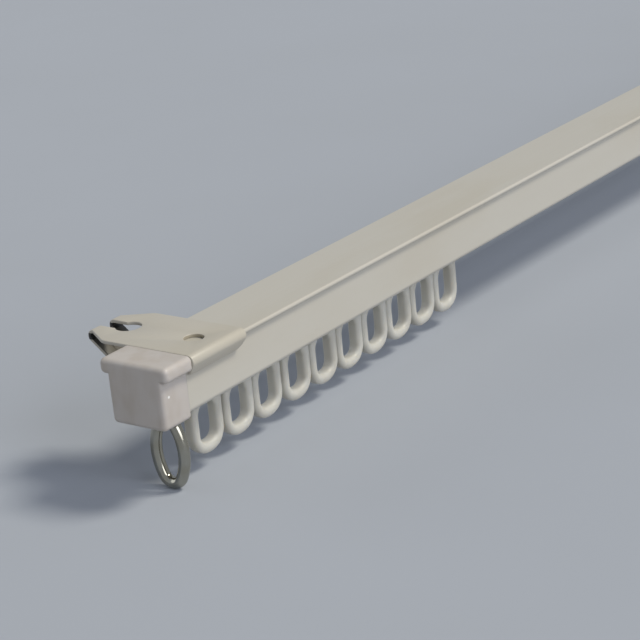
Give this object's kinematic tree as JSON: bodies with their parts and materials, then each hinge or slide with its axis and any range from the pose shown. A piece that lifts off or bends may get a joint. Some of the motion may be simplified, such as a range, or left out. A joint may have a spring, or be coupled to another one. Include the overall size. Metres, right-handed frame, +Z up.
{
  "type": "curtain track",
  "caption": "Square ceiling curtain track: hemmed channel rail, moulded end caps with screw eyes, folded spring brackets and loop runners that slide along the slot.",
  "frame": {"origin": "on the ceiling face of the left bracket, over the rail's middle line", "axes": "+X along the rail from the left bracket to the right one, +Y towards the wall, +Z up to the ceiling"},
  "size_m": [0.6201, 0.0387, 0.0375],
  "materials": {
    "track_paint": "satin white paint",
    "bracket_paint": "satin cream white paint",
    "cap_plastic": "moulded, soft gloss",
    "runner_plastic": "moulded, gloss",
    "plated_wire": "bright plated wire"
  },
  "bodies": {
    "track": {"rail": "track_paint", "end_cap_left": "cap_plastic", "end_cap_right": "cap_plastic", "bracket_left": "bracket_paint", "bracket_right": "bracket_paint"},
    "eye_left": {"screw_eye_left": "plated_wire"},
    "eye_right": {"screw_eye_right": "plated_wire"},
    "runner_01": {"runner_01": "runner_plastic"},
    "runner_02": {"runner_02": "runner_plastic"},
    "runner_03": {"runner_03": "runner_plastic"},
    "runner_04": {"runner_04": "runner_plastic"},
    "runner_05": {"runner_05": "runner_plastic"},
    "runner_06": {"runner_06": "runner_plastic"},
    "runner_07": {"runner_07": "runner_plastic"},
    "runner_08": {"runner_08": "runner_plastic"},
    "runner_09": {"runner_09": "runner_plastic"},
    "runner_10": {"runner_10": "runner_plastic"}
  },
  "joints": [
    {"name": "eye_left_turn", "type": "hinge", "parent": "track", "child": "eye_left", "pos_m": [-0.01045, 0, -0.0171], "axis": [0, 0, 1], "range_deg": [-90, 90]},
    {"name": "eye_right_turn", "type": "hinge", "parent": "track", "child": "eye_right", "pos_m": [0.58875, 0, -0.0171], "axis": [0, 0, 1], "range_deg": [-90, 90]},
    {"name": "runner_01_slide", "type": "slide", "parent": "track", "child": "runner_01", "axis": [1, 0, 0], "range_m": [-0.0005, 0.045]},
    {"name": "runner_02_slide", "type": "slide", "parent": "runner_01", "child": "runner_02", "axis": [1, 0, 0], "range_m": [-0.0007, 0.045]},
    {"name": "runner_03_slide", "type": "slide", "parent": "runner_02", "child": "runner_03", "axis": [1, 0, 0], "range_m": [0, 0.045]},
    {"name": "runner_04_slide", "type": "slide", "parent": "runner_03", "child": "runner_04", "axis": [1, 0, 0], "range_m": [-0.0008, 0.045]},
    {"name": "runner_05_slide", "type": "slide", "parent": "runner_04", "child": "runner_05", "axis": [1, 0, 0], "range_m": [-0.0003, 0.045]},
    {"name": "runner_06_slide", "type": "slide", "parent": "runner_05", "child": "runner_06", "axis": [1, 0, 0], "range_m": [-0.0001, 0.045]},
    {"name": "runner_07_slide", "type": "slide", "parent": "runner_06", "child": "runner_07", "axis": [1, 0, 0], "range_m": [0, 0.045]},
    {"name": "runner_08_slide", "type": "slide", "parent": "runner_07", "child": "runner_08", "axis": [1, 0, 0], "range_m": [0, 0.045]},
    {"name": "runner_09_slide", "type": "slide", "parent": "runner_08", "child": "runner_09", "axis": [1, 0, 0], "range_m": [0, 0.045]},
    {"name": "runner_10_slide", "type": "slide", "parent": "runner_09", "child": "runner_10", "axis": [1, 0, 0], "range_m": [0, 0.045]}
  ]
}
